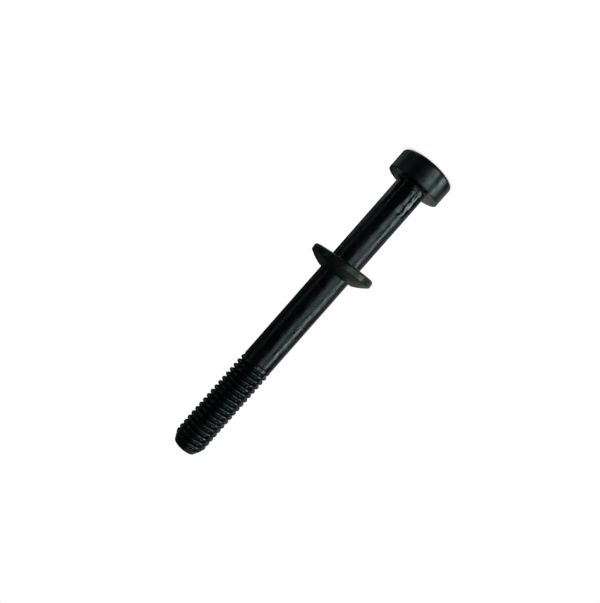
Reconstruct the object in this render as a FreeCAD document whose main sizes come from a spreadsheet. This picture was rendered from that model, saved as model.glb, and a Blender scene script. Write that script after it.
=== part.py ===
import FreeCAD, Part
import math
import os

import Sketcher

# Injector hold-down bolt with its captive washer.
# The bolt is one forging: a low cylinder head with a six-lobed socket, a slim plain
# shank and a rolled M6 thread. The washer was slipped over the shank before the thread
# was rolled, so it slides and rocks on the shank but can't come off.
# Row frame: the bolt stands on the flat top of its head, thread end up. The origin is
# the centre of that face, Z runs along the bolt and lengths are in millimetres.

SIZES = {
    # Head, a low plain cylinder
    "head_diameter": 10.3,  # across the head
    "head_height": 4.0,  # top of the head to its bearing face
    "head_top_rounding": 0.65,  # rounded edge round the top of the head
    "head_bearing_rounding": 0.12,  # rounded edge round the bearing face
    # Six-lobed driving socket, size 30
    "socket_across_lobes": 5.6,  # point to point across the six lobes
    "socket_across_waists": 3.95,  # across the waists between the lobes
    "socket_lobe_radius": 0.45,  # radius of each lobe's tip
    "socket_depth": 2.2,  # full depth of the lobes
    "socket_core_diameter": 3.6,  # round core of the punch, which ends in a cone
    "socket_floor_cone": 0.6,  # depth of that cone below the lobes
    "socket_mouth_diameter": 6.0,  # lead-in cone where it meets the top of the head
    "socket_mouth_angle": 120,  # included angle of the lead-in cone, in degrees
    # Shank and thread
    "bolt_length": 59.0,  # bearing face to the end of the thread
    "shank_diameter": 5.6,  # plain shank, slimmer than the thread's crests
    "underhead_fillet": 0.4,  # fillet between the shank and the bearing face
    "thread_diameter": 5.97,  # over the crests of the M6 thread
    "thread_length": 19.5,  # start of the run-out to the end of the bolt
    "thread_runout": 1.6,  # cone of unfinished crests next to the shank
    "thread_chamfer_length": 1.7,  # chamfer that leads the thread in
    "thread_end_diameter": 4.2,  # flat end inside the chamfer
    "thread_end_rounding": 0.2,  # rounded edge between the end and the chamfer
    # Captive washer, flat towards the head and spherical towards what it clamps
    "washer_diameter": 11.9,  # across the washer
    "washer_rim": 1.3,  # height of the cylindrical rim
    "washer_dome_radius": 9.7,  # radius of the spherical seat
    "washer_ring": 0.35,  # width of the flat ring between the bore and the dome
    "washer_play": 0.3,  # how much wider than the shank the bore is, less than the thread
    "washer_flat_chamfer": 0.6,  # chamfer of the bore that clears the underhead fillet
    "washer_mouth_chamfer": 0.25,  # broken edge of the bore on the domed side
    "washer_flat_rounding": 0.5,  # rounded edge between the flat face and the rim
    "washer_dome_rounding": 0.15,  # rounded edge between the rim and the dome
    "washer_place": 17.05,  # bearing face to the washer's flat face, along the bolt's axis
    "washer_tilt": 6.2,  # how far the washer leans on the shank, in degrees
}
LOBES = 6

doc = FreeCAD.newDocument("injector_bolt")
sheet = doc.addObject("Spreadsheet::Sheet", "sizes")
for row, (alias, value) in enumerate(SIZES.items(), start=1):
    sheet.set(f"A{row}", alias.replace("_", " "))
    sheet.set(f"B{row}", str(value))
    sheet.setAlias(f"B{row}", alias)
doc.recompute()


def size(alias):
    """Value of one driving size, for starting geometry and for finding edges."""
    return float(sheet.get(alias))


def origin_plane(body, role):
    """One of the body's own origin planes."""
    return next(item for item in body.Origin.OriginFeatures if item.Role == role)


def new_body(name):
    """Empty body whose label names its part."""
    body = doc.addObject("PartDesign::Body", name)
    body.Label = name
    return body


def new_sketch(body, name, role):
    """Sketch on one of the body's origin planes."""
    sketch = body.newObject("Sketcher::SketchObject", name)
    sketch.AttachmentSupport = [(origin_plane(body, role), "")]
    sketch.MapMode = "FlatFace"
    return sketch


START, END, CENTRE = range(1, 4)
HORIZONTAL_AXIS, VERTICAL_AXIS = range(-1, -3, -1)
ORIGIN = (HORIZONTAL_AXIS, START)


def on_ray(reach, angle):
    """Sketch point at this reach and angle from the origin."""
    return FreeCAD.Vector(reach * math.cos(angle), reach * math.sin(angle))


def add_line(sketch, first, last, construction=False):
    """Straight edge between two sketch points."""
    line = Part.LineSegment(FreeCAD.Vector(*first), FreeCAD.Vector(*last))
    return sketch.addGeometry(line, construction)


def add_arc(sketch, centre, first, last):
    """Arc round a centre from the first point to the last, counter-clockwise."""
    centre, first, last = (FreeCAD.Vector(*point) for point in (centre, first, last))
    circle = Part.Circle(centre, FreeCAD.Vector(0, 0, 1), (first - centre).Length)
    return sketch.addGeometry(Part.ArcOfCircle(circle, circle.parameter(first), circle.parameter(last)))


def relate(sketch, kind, *elements):
    """Adds a geometric constraint with no dimension."""
    sketch.addConstraint(Sketcher.Constraint(kind, *elements))


def bind(sketch, kind, name, elements, value, formula):
    """Adds a named dimension at its starting value and ties it to a formula on the sheet."""
    number = sketch.addConstraint(Sketcher.Constraint(kind, *elements, value))
    sketch.renameConstraint(number, name)
    sketch.setExpression(f"Constraints.{name}", formula)


def bind_point(sketch, name, point, across=None, along=None):
    """Ties a sketch point's distances from the origin to formulas on the sheet."""
    place = sketch.getPoint(*point)
    if across:
        bind(sketch, "DistanceX", f"{name}_across", (*ORIGIN, *point), place.x, across)
    if along:
        bind(sketch, "DistanceY", f"{name}_along", (*ORIGIN, *point), place.y, along)


def add_outline(sketch, corners):
    """Closed chain of straight edges from the origin; edge n starts at corner n."""
    edges = [add_line(sketch, *pair) for pair in zip(corners, corners[1:] + corners[:1])]
    for edge, following in zip(edges, edges[1:] + edges[:1]):
        relate(sketch, "Coincident", edge, END, following, START)
    relate(sketch, "Coincident", edges[0], START, *ORIGIN)
    return edges


def set_directions(sketch, horizontal=(), vertical=()):
    """Marks sketch edges as horizontal or vertical."""
    for edge in horizontal:
        relate(sketch, "Horizontal", edge)
    for edge in vertical:
        relate(sketch, "Vertical", edge)


def revolve(body, sketch, name, kind="PartDesign::Revolution"):
    """Turns a sketch once round the body's Z axis."""
    feature = body.newObject(kind, name)
    feature.Profile = sketch
    feature.ReferenceAxis = (sketch, ["V_Axis"])
    feature.Angle = 360
    doc.recompute()


def ring_edge(shape, diameter, height):
    """Name of the full circle of this diameter, centred on Z at this height."""
    tolerance = 1e-4
    for number, edge in enumerate(shape.Edges, start=1):
        if not isinstance(edge.Curve, Part.Circle):
            continue
        same_radius = abs(edge.Curve.Radius - diameter / 2) < tolerance
        same_height = abs(edge.Curve.Center.z - height) < tolerance
        if same_radius and same_height:
            return f"Edge{number}"
    raise ValueError(f"no ring of diameter {diameter} at height {height}")


def finish_ring(body, kind, name, diameter, height, size_alias):
    """Fillet or chamfer along one ring of the body."""
    base = body.Tip
    feature = body.newObject(f"PartDesign::{kind}", name)
    feature.Base = (base, [ring_edge(base.Shape, diameter, height)])
    feature.setExpression("Radius" if kind == "Fillet" else "Size", f"sizes.{size_alias}")
    doc.recompute()


# Bolt: one turned profile for head, shank and thread. The thread is drawn as a plain
# cylinder over its crests, with the cone of the run-out and the lead-in chamfer.
bolt = new_body("bolt")

head_radius = size("head_diameter") / 2
shank_radius = size("shank_diameter") / 2
thread_radius = size("thread_diameter") / 2
end_radius = size("thread_end_diameter") / 2
bearing_z = size("head_height")
end_z = bearing_z + size("bolt_length")
runout_z = end_z - size("thread_length")
crest_z = runout_z + size("thread_runout")
chamfer_z = end_z - size("thread_chamfer_length")

profile = new_sketch(bolt, "bolt_profile", "XZ_Plane")
(head_top, head_side, bearing_face, shank_side, runout_cone,
 crests, end_cone, end_flat, axis_line) = add_outline(profile, [
    (0, 0),
    (head_radius, 0),
    (head_radius, bearing_z),
    (shank_radius, bearing_z),
    (shank_radius, runout_z),
    (thread_radius, crest_z),
    (thread_radius, chamfer_z),
    (end_radius, end_z),
    (0, end_z),
])
set_directions(
    profile,
    horizontal=(head_top, bearing_face, end_flat),
    vertical=(head_side, shank_side, crests, axis_line),
)
END_Z = "sizes.head_height + sizes.bolt_length"
RUNOUT_Z = f"{END_Z} - sizes.thread_length"
bind_point(profile, "bearing_edge", (head_side, END), "sizes.head_diameter / 2", "sizes.head_height")
bind_point(profile, "shank_end", (shank_side, END), "sizes.shank_diameter / 2", RUNOUT_Z)
bind_point(profile, "first_crest", (runout_cone, END),
           "sizes.thread_diameter / 2", f"{RUNOUT_Z} + sizes.thread_runout")
bind_point(profile, "last_crest", (crests, END), along=f"{END_Z} - sizes.thread_chamfer_length")
bind_point(profile, "end_edge", (end_cone, END), "sizes.thread_end_diameter / 2", END_Z)
revolve(bolt, profile, "bolt_blank")

finish_ring(bolt, "Fillet", "head_top_edge", size("head_diameter"), 0, "head_top_rounding")
finish_ring(bolt, "Fillet", "head_bearing_edge", size("head_diameter"), bearing_z, "head_bearing_rounding")
finish_ring(bolt, "Fillet", "underhead_neck", size("shank_diameter"), bearing_z, "underhead_fillet")
finish_ring(bolt, "Fillet", "thread_end_edge", size("thread_end_diameter"), end_z, "thread_end_rounding")

# Driving socket, punched into the top of the head. One lobe is drawn with half a waist
# on each side of it and a tail past the centre, and repeated six times round the axis.
half_pitch = math.pi / LOBES
lobe_radius = size("socket_lobe_radius")
lobe_reach = size("socket_across_lobes") / 2 - lobe_radius
waist_reach = size("socket_across_waists") / 2


def waist_radius():
    """Radius of a waist that touches the lobes' tips on both sides of it."""
    lobe_along = lobe_reach * math.cos(half_pitch)
    gap = lobe_reach**2 + waist_reach**2 - 2 * lobe_along * waist_reach - lobe_radius**2
    return gap / (2 * (lobe_along + lobe_radius - waist_reach))


waist = waist_radius()
tip = FreeCAD.Vector(lobe_reach, 0)
tail = FreeCAD.Vector(-waist_reach / 2, 0)
upper_waist = on_ray(waist_reach + waist, half_pitch)
lower_waist = on_ray(waist_reach + waist, -half_pitch)
upper_middle = on_ray(waist_reach, half_pitch)
lower_middle = on_ray(waist_reach, -half_pitch)
touch_share = lobe_radius / (lobe_radius + waist)
upper_touch = tip + (upper_waist - tip) * touch_share
lower_touch = tip + (lower_waist - tip) * touch_share

lobe = new_sketch(bolt, "socket_lobe_profile", "XY_Plane")
tip_arc = add_arc(lobe, tip, lower_touch, upper_touch)
upper_arc = add_arc(lobe, upper_waist, upper_middle, upper_touch)
lower_arc = add_arc(lobe, lower_waist, lower_touch, lower_middle)
upper_tail = add_line(lobe, upper_middle, tail)
lower_tail = add_line(lobe, tail, lower_middle)
waist_ray = add_line(lobe, (0, 0), upper_waist, construction=True)
relate(lobe, "Tangent", tip_arc, END, upper_arc, END)
relate(lobe, "Tangent", tip_arc, START, lower_arc, START)
relate(lobe, "Coincident", upper_arc, START, upper_tail, START)
relate(lobe, "Coincident", upper_tail, END, lower_tail, START)
relate(lobe, "Coincident", lower_tail, END, lower_arc, END)
relate(lobe, "PointOnObject", upper_tail, END, HORIZONTAL_AXIS)
relate(lobe, "Symmetric", upper_arc, CENTRE, lower_arc, CENTRE, HORIZONTAL_AXIS)
relate(lobe, "Symmetric", upper_arc, START, lower_arc, END, HORIZONTAL_AXIS)
relate(lobe, "Coincident", waist_ray, START, *ORIGIN)
relate(lobe, "Coincident", waist_ray, END, upper_arc, CENTRE)
relate(lobe, "PointOnObject", upper_arc, START, waist_ray)
relate(lobe, "Angle", HORIZONTAL_AXIS, START, waist_ray, START, half_pitch)
WAIST_REACH = "sizes.socket_across_waists / 2"
bind(lobe, "Radius", "tip_radius", (tip_arc,), lobe_radius, "sizes.socket_lobe_radius")
bind(lobe, "Distance", "waist_reach", (*ORIGIN, upper_arc, START), waist_reach, WAIST_REACH)
bind(lobe, "DistanceX", "tail_reach", (upper_tail, END, *ORIGIN), waist_reach / 2, f"{WAIST_REACH} / 2")
bind_point(lobe, "tip_centre", (tip_arc, CENTRE),
           "sizes.socket_across_lobes / 2 - sizes.socket_lobe_radius")
doc.recompute()

head_volume = bolt.Shape.Volume
lobe_pocket = bolt.newObject("PartDesign::Pocket", "socket_lobe")
lobe_pocket.Profile = lobe
lobe_pocket.Reversed = True
lobe_pocket.setExpression("Length", "sizes.socket_depth")
doc.recompute()
lobe_volume = head_volume - lobe_pocket.Shape.Volume

lobe_ring = bolt.newObject("PartDesign::PolarPattern", "socket_lobes")
lobe_ring.Originals = [lobe_pocket]
lobe_ring.Axis = (lobe, ["N_Axis"])
lobe_ring.Angle = 360
lobe_ring.Occurrences = LOBES
bolt.Tip = lobe_ring
doc.recompute()
socket_volume = head_volume - lobe_ring.Shape.Volume

# Lead-in cone at the socket's mouth, round core and the cone of its floor
core_radius = size("socket_core_diameter") / 2
mouth_radius = size("socket_mouth_diameter") / 2
mouth_depth = (mouth_radius - core_radius) / math.tan(math.radians(size("socket_mouth_angle") / 2))
socket_depth = size("socket_depth")
floor_z = socket_depth + size("socket_floor_cone")

punch = new_sketch(bolt, "socket_punch_profile", "XZ_Plane")
mouth_line, mouth_cone, core_side, floor_cone, punch_axis = add_outline(punch, [
    (0, 0),
    (mouth_radius, 0),
    (core_radius, mouth_depth),
    (core_radius, socket_depth),
    (0, floor_z),
])
set_directions(punch, horizontal=(mouth_line,), vertical=(core_side, punch_axis))
MOUTH_STEP = "(sizes.socket_mouth_diameter - sizes.socket_core_diameter) / 2"
bind_point(punch, "mouth", (mouth_line, END), "sizes.socket_mouth_diameter / 2")
bind_point(punch, "core_top", (mouth_cone, END),
           "sizes.socket_core_diameter / 2", f"{MOUTH_STEP} / tan(sizes.socket_mouth_angle / 2 * 1 deg)")
bind_point(punch, "core_end", (core_side, END), along="sizes.socket_depth")
bind_point(punch, "floor", (floor_cone, END), along="sizes.socket_depth + sizes.socket_floor_cone")
revolve(bolt, punch, "socket_punch", "PartDesign::Groove")
punch_volume = lobe_ring.Shape.Volume - bolt.Shape.Volume

# Captive washer: its flat face lies on the sketch's horizontal axis, its dome above.
# The dome is part of a sphere whose centre lies on the washer's axis.
washer = new_body("captive_washer")

rim_radius = size("washer_diameter") / 2
bore_radius = (size("shank_diameter") + size("washer_play")) / 2
ring_radius = bore_radius + size("washer_ring")
dome_radius = size("washer_dome_radius")
rim_z = size("washer_rim")
dome_centre_z = rim_z - math.sqrt(dome_radius**2 - rim_radius**2)
ring_z = dome_centre_z + math.sqrt(dome_radius**2 - ring_radius**2)

section = new_sketch(washer, "washer_section", "XZ_Plane")
flat_line = add_line(section, (bore_radius, 0), (rim_radius, 0))
rim_line = add_line(section, (rim_radius, 0), (rim_radius, rim_z))
dome_arc = add_arc(section, (0, dome_centre_z), (rim_radius, rim_z), (ring_radius, ring_z))
ring_line = add_line(section, (ring_radius, ring_z), (bore_radius, ring_z))
bore_line = add_line(section, (bore_radius, ring_z), (bore_radius, 0))
washer_edges = [flat_line, rim_line, dome_arc, ring_line, bore_line]
for edge, following in zip(washer_edges, washer_edges[1:] + washer_edges[:1]):
    relate(section, "Coincident", edge, END, following, START)
relate(section, "PointOnObject", flat_line, START, HORIZONTAL_AXIS)
relate(section, "PointOnObject", dome_arc, CENTRE, VERTICAL_AXIS)
set_directions(section, horizontal=(flat_line, ring_line), vertical=(rim_line, bore_line))
BORE_RADIUS = "(sizes.shank_diameter + sizes.washer_play) / 2"
RING_RADIUS = f"({BORE_RADIUS} + sizes.washer_ring)"
bind_point(section, "bore", (flat_line, START), BORE_RADIUS)
bind_point(section, "rim", (rim_line, END), "sizes.washer_diameter / 2", "sizes.washer_rim")
bind_point(section, "ring", (dome_arc, END), RING_RADIUS)
bind(section, "Radius", "dome_radius", (dome_arc,), dome_radius, "sizes.washer_dome_radius")
revolve(washer, section, "washer_blank")

bore = bore_radius * 2
finish_ring(washer, "Chamfer", "bore_flat_chamfer", bore, 0, "washer_flat_chamfer")
finish_ring(washer, "Chamfer", "bore_mouth_chamfer", bore, ring_z, "washer_mouth_chamfer")
finish_ring(washer, "Fillet", "flat_edge", size("washer_diameter"), 0, "washer_flat_rounding")
finish_ring(washer, "Fillet", "dome_edge", size("washer_diameter"), rim_z, "washer_dome_rounding")

# The washer hangs tilted on the shank, as far as its bore's play allows. It leans about
# the middle of the bore, which stays on the bolt's axis, with its +X side towards the thread.
DOME_HEIGHT = (f"sqrt(sizes.washer_dome_radius ^ 2 - {RING_RADIUS} ^ 2)"
               " - sqrt(sizes.washer_dome_radius ^ 2 - (sizes.washer_diameter / 2) ^ 2)")
BORE_MIDDLE = (f"((sizes.washer_rim + {DOME_HEIGHT}"
               " + sizes.washer_flat_chamfer - sizes.washer_mouth_chamfer) / 2)")
LEAN = "(sizes.washer_tilt * 1 deg)"
LEAN_AXIS = FreeCAD.Vector(0, -1, 0)
washer.Placement = FreeCAD.Placement(
    FreeCAD.Vector(0, 0, 0), FreeCAD.Rotation(LEAN_AXIS, size("washer_tilt")))
washer.setExpression("Placement.Rotation.Angle", LEAN)
washer.setExpression("Placement.Base.x", f"{BORE_MIDDLE} * sin({LEAN}) * 1 mm")
washer.setExpression(
    "Placement.Base.z",
    f"(sizes.head_height + sizes.washer_place + {BORE_MIDDLE} * (1 - cos({LEAN}))) * 1 mm",
)
doc.recompute()

# Checks before anything is written
for item in doc.Objects:
    bad_states = [state for state in item.State if state in ("Invalid", "Error")]
    if bad_states:
        raise RuntimeError(f"{item.Name} failed: {bad_states}")
    if item.isDerivedFrom("Sketcher::SketchObject") and item.solve() != 0:
        raise RuntimeError(f"{item.Name} doesn't solve")
if lobe_volume <= 0:
    raise RuntimeError("the socket's first lobe cuts nothing")
if socket_volume <= lobe_volume:
    raise RuntimeError("the socket's lobes aren't repeated")
if punch_volume <= 0:
    raise RuntimeError("the socket's core cuts nothing")

os.makedirs("parts", exist_ok=True)
for part in (bolt, washer):
    if part.Shape.isNull() or not part.Shape.isValid():
        raise RuntimeError(f"{part.Label} has no valid shape")
    part.Shape.exportStep(f"parts/{part.Label}.step")
    print(part.Label, "solids", len(part.Shape.Solids), "volume", round(part.Shape.Volume, 2))

play = bolt.Shape.distToShape(washer.Shape)[0]
print("smallest play between washer and shank", round(play, 4))
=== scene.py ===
import math

import bpy
from mathutils import Matrix, Vector


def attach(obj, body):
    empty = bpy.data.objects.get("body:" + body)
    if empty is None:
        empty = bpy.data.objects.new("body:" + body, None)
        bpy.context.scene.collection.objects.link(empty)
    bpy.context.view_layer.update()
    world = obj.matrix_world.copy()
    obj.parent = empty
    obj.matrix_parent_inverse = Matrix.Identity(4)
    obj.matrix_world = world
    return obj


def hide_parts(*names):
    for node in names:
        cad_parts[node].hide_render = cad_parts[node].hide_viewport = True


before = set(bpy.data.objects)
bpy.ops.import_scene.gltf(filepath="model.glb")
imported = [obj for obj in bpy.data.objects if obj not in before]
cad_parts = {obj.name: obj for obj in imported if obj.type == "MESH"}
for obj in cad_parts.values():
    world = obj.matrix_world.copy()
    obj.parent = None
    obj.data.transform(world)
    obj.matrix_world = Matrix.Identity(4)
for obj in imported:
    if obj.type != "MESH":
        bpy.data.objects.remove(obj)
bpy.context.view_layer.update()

# The bolt: cold-headed from bright steel wire, its six-lobed socket punched into the low
# head and its M6 thread rolled on last, then black-oxidised and oiled as one piece. It
# stands on the flat top of its head with the thread upwards.
MM = 0.001
HEAD_REACH = 5.15 * MM
HEAD_HEIGHT = 4.0 * MM
HEAD_TOP_ROUNDING = 0.65 * MM
HEAD_TOP_ROWS = (3.9 * MM, 4.4 * MM)
HEAD_SIDE_ROWS = (1.2 * MM, 2.1 * MM, 3.0 * MM)
BEARING_FACE_ROWS = (4.4 * MM, 3.7 * MM)
BEARING_EDGE_ROUNDING = 0.12 * MM
SHANK_REACH = 2.8 * MM
SHANK_ROW_SPACING = 1.0 * MM
UNDERHEAD_FILLET = 0.4 * MM
BOLT_END = 63.0 * MM

SOCKET_LOBES = 6
SOCKET_TIP = 2.8 * MM
SOCKET_WAIST = 1.975 * MM
SOCKET_TIP_RADIUS = 0.45 * MM
SOCKET_MOUTH = 3.0 * MM
SOCKET_MOUTH_SLOPE = math.tan(math.radians(30))
SOCKET_DEPTH = 2.2 * MM
SOCKET_CORE = 1.8 * MM
SOCKET_POINT = 2.8 * MM
SOCKET_CORNER = 0.12 * MM
SOCKET_CORNER_STEPS = 4

THREAD_PITCH = 1.0 * MM
THREAD_CREST = 2.985 * MM
THREAD_PITCH_REACH = 2.83 * MM
CREST_ROUNDING = 0.278 * MM
ROOT_ROUNDING = 0.06 * MM
FLANK_SLOPE = math.sqrt(3)
RUNOUT_START = 43.5 * MM
RUNOUT_END = 45.1 * MM
CHAMFER_START = 61.3 * MM
CHAMFER_DEGREES = 28
END_REACH = 2.1 * MM
END_ROUNDING = 0.2 * MM
CHAMFER_RISE_AT_ROUNDING = 0.1 * MM
END_FACE_ROW = 1.2 * MM

AROUND = 168
ROWS_PER_TURN = 24
SHARP_EDGE = math.radians(38)


def socket_outline(angle):
    """Distance from the axis to the six-lobed wall of the socket in this direction."""
    half_pitch = math.pi / SOCKET_LOBES
    turn = (angle + half_pitch) % (2 * half_pitch) - half_pitch
    tip_centre = SOCKET_TIP - SOCKET_TIP_RADIUS
    along = tip_centre * math.cos(half_pitch)
    gap = tip_centre**2 + SOCKET_WAIST**2 - 2 * along * SOCKET_WAIST - SOCKET_TIP_RADIUS**2
    waist_radius = gap / (2 * (along + SOCKET_TIP_RADIUS - SOCKET_WAIST))
    waist_centre = SOCKET_WAIST + waist_radius
    side = tip_centre * math.sin(turn)
    if abs(side) < SOCKET_TIP_RADIUS:
        on_lobe = tip_centre * math.cos(turn) + math.sqrt(SOCKET_TIP_RADIUS**2 - side**2)
    else:
        on_lobe = 0
    away = half_pitch - abs(turn)
    side = waist_centre * math.sin(away)
    if side < waist_radius:
        on_waist = waist_centre * math.cos(away) - math.sqrt(waist_radius**2 - side**2)
        touch = math.atan2(
            waist_centre * math.sin(half_pitch) * SOCKET_TIP_RADIUS,
            tip_centre * waist_radius + waist_centre * math.cos(half_pitch) * SOCKET_TIP_RADIUS)
        if abs(turn) > touch:
            return on_waist
    return on_lobe


def thread_form(height, angle):
    """Reach of the rolled right-hand thread at this height and angle."""
    away = abs((height / THREAD_PITCH - angle / (2 * math.pi)) % 1 - 0.5) * THREAD_PITCH
    crest_centre = THREAD_CREST - CREST_ROUNDING
    root_apex = THREAD_PITCH_REACH - THREAD_PITCH / 4 * FLANK_SLOPE
    root_centre = root_apex + 2 * ROOT_ROUNDING
    if away < CREST_ROUNDING * FLANK_SLOPE / 2:
        reach = crest_centre + math.sqrt(CREST_ROUNDING**2 - away**2)
    elif THREAD_PITCH / 2 - away < ROOT_ROUNDING * FLANK_SLOPE / 2:
        reach = root_centre - math.sqrt(ROOT_ROUNDING**2 - (THREAD_PITCH / 2 - away) ** 2)
    else:
        reach = THREAD_PITCH_REACH + (THREAD_PITCH / 4 - away) * FLANK_SLOPE
    fade = min(max((height - RUNOUT_START) / (RUNOUT_END - RUNOUT_START), 0), 1)
    reach = SHANK_REACH + (reach - SHANK_REACH) * fade
    chamfer = (BOLT_END - height) / (BOLT_END - CHAMFER_START) * (THREAD_CREST - END_REACH)
    return min(reach, END_REACH + chamfer)


def corner(reach, height, radius, start, end, steps=6):
    """Rounded corner of a turned outline, as points on an arc round its centre."""
    for step in range(steps + 1):
        angle = math.radians(start + (end - start) * step / steps)
        yield reach + radius * math.cos(angle), height + radius * math.sin(angle)


def turned_mesh(name, rows, closed=False):
    """Skin over rows of points round the Z axis; a single point closes an end."""
    points, starts = [], []
    for row in rows:
        starts.append(len(points))
        points.extend(row)
    faces = []
    pairs = list(zip(starts, starts[1:]))
    if closed:
        pairs.append((starts[-1], starts[0]))
    sizes = {start: len(row) for start, row in zip(starts, rows)}
    for low, high in pairs:
        for column in range(AROUND):
            beside = (column + 1) % AROUND
            face = [low + column % sizes[low], low + beside % sizes[low],
                    high + beside % sizes[high], high + column % sizes[high]]
            faces.append(list(dict.fromkeys(face)))
    mesh = bpy.data.meshes.new(name)
    mesh.from_pydata(points, [], faces)
    mesh.validate()
    mesh.update()
    mesh.shade_smooth()
    mesh.set_sharp_from_angle(angle=SHARP_EDGE)
    piece = bpy.data.objects.new(name, mesh)
    bpy.context.collection.objects.link(piece)
    return piece


def ring(reach, height):
    """One row of points round the axis; reach and height may change with the angle."""
    row = []
    for column in range(AROUND):
        angle = 2 * math.pi * column / AROUND
        out = reach(angle) if callable(reach) else reach
        up = height(angle) if callable(height) else height
        row.append((out * math.cos(angle), out * math.sin(angle), up))
    return row


def socket_rows():
    """Rows from the point of the socket's floor, up its wall and out of its mouth."""
    def wall_top(angle):
        return (SOCKET_MOUTH - socket_outline(angle)) * SOCKET_MOUTH_SLOPE

    rows = [[(0, 0, SOCKET_POINT)]]
    for share in (0.3, 0.65, 1):
        depth = SOCKET_POINT + (SOCKET_DEPTH - SOCKET_POINT) * share
        rows.append(ring(SOCKET_CORE * share, depth))
    for step in range(SOCKET_CORNER_STEPS + 1):
        turn = math.pi / 2 * step / SOCKET_CORNER_STEPS
        back = SOCKET_CORNER * (1 - math.sin(turn))
        lift = SOCKET_CORNER * (1 - math.cos(turn))
        rows.append(ring(lambda angle: socket_outline(angle) - back, SOCKET_DEPTH - lift))
    for share in (0.35, 0.7, 1):
        rows.append(ring(socket_outline, lambda angle: (
            (SOCKET_DEPTH - SOCKET_CORNER) * (1 - share) + wall_top(angle) * share)))
    for share in (0.5, 1):
        rows.append(ring(
            lambda angle: socket_outline(angle) + (SOCKET_MOUTH - socket_outline(angle)) * share,
            lambda angle: wall_top(angle) * (1 - share)))
    return rows


def bolt_rows():
    """Rows of the whole forging, from the socket's floor to the end of the thread."""
    rows = socket_rows()
    outline = [(reach, 0) for reach in HEAD_TOP_ROWS]
    outline += corner(HEAD_REACH - HEAD_TOP_ROUNDING, HEAD_TOP_ROUNDING, HEAD_TOP_ROUNDING, -90, 0)
    outline += [(HEAD_REACH, height) for height in HEAD_SIDE_ROWS]
    outline += corner(HEAD_REACH - BEARING_EDGE_ROUNDING, HEAD_HEIGHT - BEARING_EDGE_ROUNDING,
                      BEARING_EDGE_ROUNDING, 0, 90)
    outline += [(reach, HEAD_HEIGHT) for reach in BEARING_FACE_ROWS]
    outline += corner(SHANK_REACH + UNDERHEAD_FILLET, HEAD_HEIGHT + UNDERHEAD_FILLET,
                      UNDERHEAD_FILLET, 270, 180)
    height = HEAD_HEIGHT + UNDERHEAD_FILLET
    while height < RUNOUT_START - 1.5 * SHANK_ROW_SPACING:
        height += SHANK_ROW_SPACING
        outline.append((SHANK_REACH, height))
    rows += [ring(*point) for point in outline]

    # the rolled thread, one row of points for each small step up its helix
    step = THREAD_PITCH / ROWS_PER_TURN
    end_corner = BOLT_END - END_ROUNDING
    height = RUNOUT_START
    while height < end_corner:
        rows.append(ring(lambda angle: thread_form(height, angle), height))
        height += step
    rows += [ring(*point) for point in corner(
        END_REACH + CHAMFER_RISE_AT_ROUNDING - END_ROUNDING, end_corner, END_ROUNDING,
        CHAMFER_DEGREES, 90)]
    rows += [ring(END_FACE_ROW, BOLT_END), [(0, 0, BOLT_END)]]
    return rows


bolt = turned_mesh("bolt_forging", bolt_rows())

# The finish of the bolt: a thin black magnetite layer, satin and faintly mottled, with a fine
# grain drawn out along the wire and a smear of oil standing in beads under the head.
OXIDE_IOR = 1.93
GRAIN_DEPTH = 0.02 * MM
WAVE_DEPTH = 0.12 * MM
BEAD_DEPTH = 0.12 * MM
SMEAR_WANDER = 5 * MM


def add(tree, kind, inputs=None, **settings):
    """Outputs of a new node, whose inputs are linked to sockets or set to plain values."""
    node = tree.nodes.new(kind)
    for key, value in settings.items():
        setattr(node, key, value)
    for key, value in (inputs or {}).items():
        if isinstance(value, bpy.types.NodeSocket):
            tree.links.new(value, node.inputs[key])
        else:
            node.inputs[key].default_value = value
    return node.outputs


def reckon(tree, operation, *values):
    """Result of one operation on these values."""
    return add(tree, "ShaderNodeMath", dict(enumerate(values)), operation=operation)["Value"]


def scaled(tree, value, low, high, first, last):
    """Value carried over from between low and high to between first and last."""
    return add(tree, "ShaderNodeMapRange", {
        "Value": value, "From Min": low, "From Max": high, "To Min": first, "To Max": last})["Result"]


def noise(tree, place, scale, detail, roughness):
    """Soft random pattern over the steel; a larger scale makes it finer."""
    return add(tree, "ShaderNodeTexNoise", {
        "Vector": place, "Scale": scale, "Detail": detail, "Roughness": roughness})["Fac"]


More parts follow.
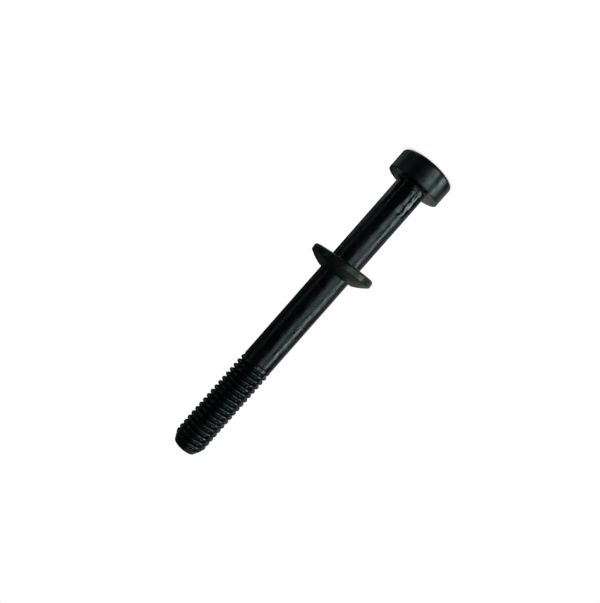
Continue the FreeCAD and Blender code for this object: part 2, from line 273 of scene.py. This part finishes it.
def oxide_finish(name, dark, grey, tint, grain_scale, roughness, drawn, oiled=None):
    """Black oxide: mottled colour, uneven satin and a fine grain, drawn out along the wire."""
    material = bpy.data.materials.new(name)
    material.use_nodes = True
    tree = material.node_tree
    place = add(tree, "ShaderNodeTexCoord")["Object"]
    mottle = noise(tree, place, scale=520, detail=5, roughness=0.6)
    patches = noise(tree, place, scale=210, detail=3, roughness=0.5)
    stretched = add(tree, "ShaderNodeMapping", {"Vector": place, "Scale": (1, 1, drawn)})["Vector"]
    lines = noise(tree, stretched, scale=grain_scale, detail=4, roughness=0.55)
    grain = noise(tree, place, scale=grain_scale * 2.6, detail=3, roughness=0.6)
    blend = scaled(tree, mottle, 0.35, 0.7, 0, 1)
    colour = add(tree, "ShaderNodeMix", {0: blend, 6: (*dark, 1), 7: (*grey, 1)}, data_type="RGBA")[2]
    uneven = reckon(tree, "ADD", reckon(tree, "MULTIPLY", mottle, lines), patches)
    satin = scaled(tree, uneven, 0.5, 1.0, roughness - 0.13, roughness + 0.15)
    skin = reckon(tree, "ADD", lines, grain)
    bump = add(tree, "ShaderNodeBump", {
        "Height": skin, "Strength": 0.35, "Distance": GRAIN_DEPTH})["Normal"]
    # the slow waves of a drawn and headed surface, which make the stripes of light uneven
    waves = noise(tree, place, scale=560, detail=1, roughness=0.4)
    bump = add(tree, "ShaderNodeBump", {
        "Height": waves, "Strength": 1, "Distance": WAVE_DEPTH, "Normal": bump})["Normal"]
    if oiled:
        # the smear smooths the satin between two heights and is ragged at both of its ends
        low, top, oil_roughness = oiled
        height = add(tree, "ShaderNodeSeparateXYZ", {"Vector": place})["Z"]
        ragged = reckon(tree, "ADD", height, reckon(tree, "MULTIPLY", patches, SMEAR_WANDER))
        middle = (low + top) / 2 + SMEAR_WANDER / 2
        away = reckon(tree, "ABSOLUTE", reckon(tree, "SUBTRACT", ragged, middle))
        half = (top - low) / 2
        smear = scaled(tree, away, half - 0.4 * MM, half + 0.2 * MM, 1, 0)
        satin = add(tree, "ShaderNodeMix", {0: smear, 2: satin, 3: oil_roughness}, data_type="FLOAT")[0]
        film = reckon(tree, "MULTIPLY", noise(tree, place, scale=800, detail=2, roughness=0.4), smear)
        bump = add(tree, "ShaderNodeBump", {
            "Height": film, "Strength": 1, "Distance": BEAD_DEPTH, "Normal": bump})["Normal"]
    shader = tree.nodes["Principled BSDF"]
    shader.inputs["IOR"].default_value = OXIDE_IOR
    shader.inputs["Specular Tint"].default_value = (*tint, 1)
    tree.links.new(colour, shader.inputs["Base Color"])
    tree.links.new(satin, shader.inputs["Roughness"])
    tree.links.new(bump, shader.inputs["Normal"])
    return material


bolt.data.materials.append(oxide_finish(
    "bolt_black_oxide", dark=(0.0001, 0.0014, 0.0015), grey=(0.0012, 0.0038, 0.0037),
    tint=(0.76, 1.0, 0.98), grain_scale=4200, roughness=0.30, drawn=0.06,
    oiled=(4.6 * MM, 9.9 * MM, 0.12)))
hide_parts("bolt")
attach(bolt, "bolt")


# The captive washer: blanked from hardened strip and coined to a ball on the side that seats
# in the clamp. It was slipped on before the thread was rolled, hangs loose and leans on the
# shank, and has the same oxide, a little duller and without the oil.
WASHER_REACH = 5.95 * MM
WASHER_RIM = 1.3 * MM
WASHER_DOME = 9.7 * MM
WASHER_BORE = 2.95 * MM
WASHER_RING = 3.3 * MM
WASHER_FLAT_ROWS = (4.4 * MM, 5.0 * MM)
WASHER_RIM_ROW = 0.75 * MM
WASHER_BORE_ROW = 1.5 * MM
BORE_FLAT_CHAMFER = 0.6 * MM
BORE_MOUTH_CHAMFER = 0.25 * MM
FLAT_ROUNDING = 0.5 * MM
DOME_ROUNDING = 0.15 * MM
WASHER_PLACE = 17.05 * MM
WASHER_LEAN = math.radians(6.2)


def washer_rows():
    """Rows of the washer, closed round its bore, with its flat face at height zero."""
    dome_centre = WASHER_RIM - math.sqrt(WASHER_DOME**2 - WASHER_REACH**2)
    crown = dome_centre + math.sqrt(WASHER_DOME**2 - WASHER_RING**2)
    outline = [(WASHER_BORE + BORE_FLAT_CHAMFER, 0)]
    outline += [(reach, 0) for reach in WASHER_FLAT_ROWS]
    outline += corner(WASHER_REACH - FLAT_ROUNDING, FLAT_ROUNDING, FLAT_ROUNDING, -90, 0, steps=8)
    outline += [(WASHER_REACH, WASHER_RIM_ROW)]
    # the small rounding between the rim and the ball, tangent to both
    inner = WASHER_DOME - DOME_ROUNDING
    up = math.sqrt(inner**2 - (WASHER_REACH - DOME_ROUNDING) ** 2)
    leave = math.degrees(math.atan2(up, WASHER_REACH - DOME_ROUNDING))
    outline += corner(WASHER_REACH - DOME_ROUNDING, dome_centre + up, DOME_ROUNDING, 0, leave)
    finish = math.degrees(math.acos(WASHER_RING / WASHER_DOME))
    outline += list(corner(0, dome_centre, WASHER_DOME, leave, finish, steps=18))[1:]
    outline += [(WASHER_BORE + BORE_MOUTH_CHAMFER, crown), (WASHER_BORE, crown - BORE_MOUTH_CHAMFER)]
    outline += [(WASHER_BORE, WASHER_BORE_ROW), (WASHER_BORE, BORE_FLAT_CHAMFER)]
    return [ring(*point) for point in outline], crown


rows, crown = washer_rows()
washer = turned_mesh("domed_washer", rows, closed=True)
bore_middle = (crown + BORE_FLAT_CHAMFER - BORE_MOUTH_CHAMFER) / 2
hang = Matrix.Translation((
    bore_middle * math.sin(WASHER_LEAN), 0,
    HEAD_HEIGHT + WASHER_PLACE + bore_middle * (1 - math.cos(WASHER_LEAN))))
washer.data.transform(hang @ Matrix.Rotation(WASHER_LEAN, 4, Vector((0, -1, 0))))
washer.data.materials.append(oxide_finish(
    "washer_black_oxide", dark=(0.0001, 0.0024, 0.0015), grey=(0.0018, 0.0054, 0.0038),
    tint=(0.78, 1.0, 0.86), grain_scale=2600, roughness=0.36, drawn=1))
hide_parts("captive_washer")
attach(washer, "washer")


# The studio: a plain white board under the head and a plain white surround. Both read as
# white to the camera, and the board keeps the bolt's soft shadow.
SURROUND_FILL = 0.5
BOARD_REACH = 3.0
BOARD_GLOW = 0.70


def white_surround(tree, others):
    """Strength of 1 for the camera and for reflections, and a dimmer level for the rest."""
    ray = add(tree, "ShaderNodeLightPath")
    seen = reckon(tree, "MAXIMUM", ray["Is Camera Ray"], ray["Is Glossy Ray"])
    clear = reckon(tree, "MAXIMUM", seen, ray["Is Transmission Ray"])
    return scaled(tree, clear, 0, 1, others, 1)


world = bpy.data.worlds.new("white_surround")
world.use_nodes = True
bpy.context.scene.world = world
surround = world.node_tree.nodes["Background"]
surround.inputs["Color"].default_value = (1, 1, 1, 1)
world.node_tree.links.new(white_surround(world.node_tree, SURROUND_FILL), surround.inputs["Strength"])

board_mesh = bpy.data.meshes.new("white_board")
board_mesh.from_pydata([
    (-BOARD_REACH, -BOARD_REACH, 0), (BOARD_REACH, -BOARD_REACH, 0),
    (BOARD_REACH, BOARD_REACH, 0), (-BOARD_REACH, BOARD_REACH, 0)], [], [(0, 1, 2, 3)])
board = bpy.data.objects.new("white_board", board_mesh)
bpy.context.collection.objects.link(board)
board_finish = bpy.data.materials.new("white_board")
board_finish.use_nodes = True
board_tree = board_finish.node_tree
paint = board_tree.nodes["Principled BSDF"]
paint.inputs["Base Color"].default_value = (0.8, 0.8, 0.8, 1)
paint.inputs["Roughness"].default_value = 1
paint.inputs["Specular IOR Level"].default_value = 0
paint.inputs["Emission Color"].default_value = (1, 1, 1, 1)
glow = reckon(board_tree, "MULTIPLY", white_surround(board_tree, 0), BOARD_GLOW)
board_tree.links.new(glow, paint.inputs["Emission Strength"])
board_mesh.materials.append(board_finish)

# Glowing cards, which are no lamps, keep the steel as black as the photograph shows it with painted
# reflections of shade and dim light: a dark one round the camera's side, grey and dim ones behind and
# low on the left, and level ones over and under the bolt. They show only in the steel's reflections.
# The board doesn't, and lets the low lamps through.
board.visible_glossy = False
board.visible_shadow = False

CARD_LOW = -0.5
CARD_TOP = 0.6
CARD_REACH = 0.6


def hang_card(name, reflection_glow_strength, points, faces):
    """Card that glows at one even strength though it is no lamp, a painted reflection that nothing but
    the steel's reflections can see.
    """
    finish = bpy.data.materials.new(name)
    finish.use_nodes = True
    reflection_glow_shader = finish.node_tree.nodes["Principled BSDF"]
    reflection_glow_shader.inputs["Base Color"].default_value = (0, 0, 0, 1)
    reflection_glow_shader.inputs["Specular IOR Level"].default_value = 0
    # the card glows at this strength though it is no lamp: a painted reflection, dark ones for shade
    # and grey ones for dim light
    reflection_glow_shader.inputs["Emission Color"].default_value = (1, 1, 1, 1)
    reflection_glow_shader.inputs["Emission Strength"].default_value = reflection_glow_strength
    mesh = bpy.data.meshes.new(name)
    mesh.from_pydata(points, [], faces)
    mesh.materials.append(finish)
    card = bpy.data.objects.new(name, mesh)
    bpy.context.collection.objects.link(card)
    card.visible_camera = False
    card.visible_shadow = False
    card.visible_diffuse = False


def bent_card(name, reflection_glow_strength, start, end, low=CARD_LOW, top=CARD_TOP, reach=CARD_REACH, steps=24):
    """Upright card bent round the bolt between two bearings, in degrees from -Y towards +X."""
    points = []
    for step in range(steps + 1):
        angle = math.radians(start + (end - start) * step / steps)
        x, y = reach * math.sin(angle), -reach * math.cos(angle)
        points += [(x, y, low), (x, y, top)]
    faces = [(2 * step, 2 * step + 2, 2 * step + 3, 2 * step + 1) for step in range(steps)]
    hang_card(name, reflection_glow_strength, points, faces)


def level_card(name, reflection_glow_strength, height, left, right):
    """Level card over or under the bolt, between two distances along X."""
    hang_card(name, reflection_glow_strength, [
        (left, -CARD_REACH, height), (right, -CARD_REACH, height),
        (right, CARD_REACH, height), (left, CARD_REACH, height)], [(0, 1, 2, 3)])


# each with the strength of its painted reflection and the two bearings between which it hangs
bent_card("dark_side_card", 0.004, -118, 112)
bent_card("low_grey_left_card", 0.13, -118, -98, low=-0.13, top=0.03, reach=0.58)
bent_card("grey_back_card", 0.19, 112, 152, low=-0.25, top=-0.06)
bent_card("dim_low_back_card", 0.02, 112, 152, top=-0.25)
bent_card("dim_back_card", 0.03, 112, 152, low=-0.06)
bent_card("dark_back_card", 0.02, 152, 187, top=0.42)
bent_card("high_back_card", 0.12, 152, 187, low=0.42)
bent_card("grey_left_card", 0.27, 187, 242)
# each with the strength of its painted reflection, its height and the two distances along X between
# which it hangs
level_card("dark_top_card", 0.01, CARD_TOP, -0.1, CARD_REACH)
level_card("pale_top_card", 0.12, CARD_TOP, -CARD_REACH, -0.1)
level_card("dark_under_card", 0.005, CARD_LOW, -0.05, CARD_REACH)
level_card("pale_under_card", 0.06, CARD_LOW, -CARD_REACH, -0.05)


# The lamps: broad weak soft boxes beside the camera, a narrow stronger one further round and
# a faint one on the other side, whose stripes of light run the length of the steel, and low
# ones behind and beside the bolt that light the sides turned away from the camera.
def soft_box(name, bearing, distance, low, width, height, radiance, lean=0):
    """Upright area lamp facing the bolt; its bearing is in degrees from -Y towards -X."""
    lamp = bpy.data.lights.new(name, "AREA")
    lamp.shape = "RECTANGLE"
    lamp.size = width
    lamp.size_y = height
    lamp.energy = radiance * math.pi * width * height
    box = bpy.data.objects.new(name, lamp)
    angle = math.radians(bearing)
    place = Vector((-distance * math.sin(angle), -distance * math.cos(angle), low + height / 2))
    aim = Vector((0, 0, place.z)) - place
    box.matrix_world = (Matrix.Translation(place) @ aim.to_track_quat("-Z", "Y").to_matrix().to_4x4()
                        @ Matrix.Rotation(math.radians(lean), 4, "Z"))
    box.visible_camera = False
    bpy.context.collection.objects.link(box)


# each with its bearing, distance, lower edge, width, height, radiance and lean
soft_box("broad_soft_box", 24, 0.35, -0.25, 0.16, 0.40, 0.60, -12)
soft_box("low_broad_soft_box", 31, 0.34, -0.25, 0.12, 0.19, 0.85)
soft_box("narrow_soft_box", 69, 0.35, -0.25, 0.065, 0.40, 3.4, -12)
soft_box("faint_soft_box", -74, 0.35, -0.25, 0.035, 0.50, 0.26)
soft_box("low_back_soft_box", 150, 0.35, -0.60, 0.10, 0.42, 1.6)
soft_box("low_right_back_soft_box", -155, 0.35, -0.60, 0.10, 0.42, 1.4)
soft_box("low_right_soft_box", -98, 0.35, -0.60, 0.08, 0.38, 0.6)

# The camera at the photograph's viewing angle, close to the bolt and about level with the
# middle of it, rolled so that the head points to the upper right.
CAMERA_PLACE = Vector((13.733, -100.452, 27.523)) * MM
CAMERA_PAN = math.radians(6.953)
CAMERA_TILT = math.radians(92.013)
CAMERA_ROLL = math.radians(-138.697)
SENSOR_WIDTH = 36
LENS = 35.5
camera = bpy.data.objects.new("camera", bpy.data.cameras.new("camera"))
camera.matrix_world = (Matrix.Translation(CAMERA_PLACE) @ Matrix.Rotation(CAMERA_PAN, 4, "Z")
                       @ Matrix.Rotation(CAMERA_TILT, 4, "X") @ Matrix.Rotation(CAMERA_ROLL, 4, "Z"))
camera.data.sensor_width = SENSOR_WIDTH
camera.data.lens = LENS
camera.data.clip_start = MM
bpy.context.collection.objects.link(camera)
bpy.context.scene.camera = camera

bpy.context.scene.view_settings.view_transform = "Standard"
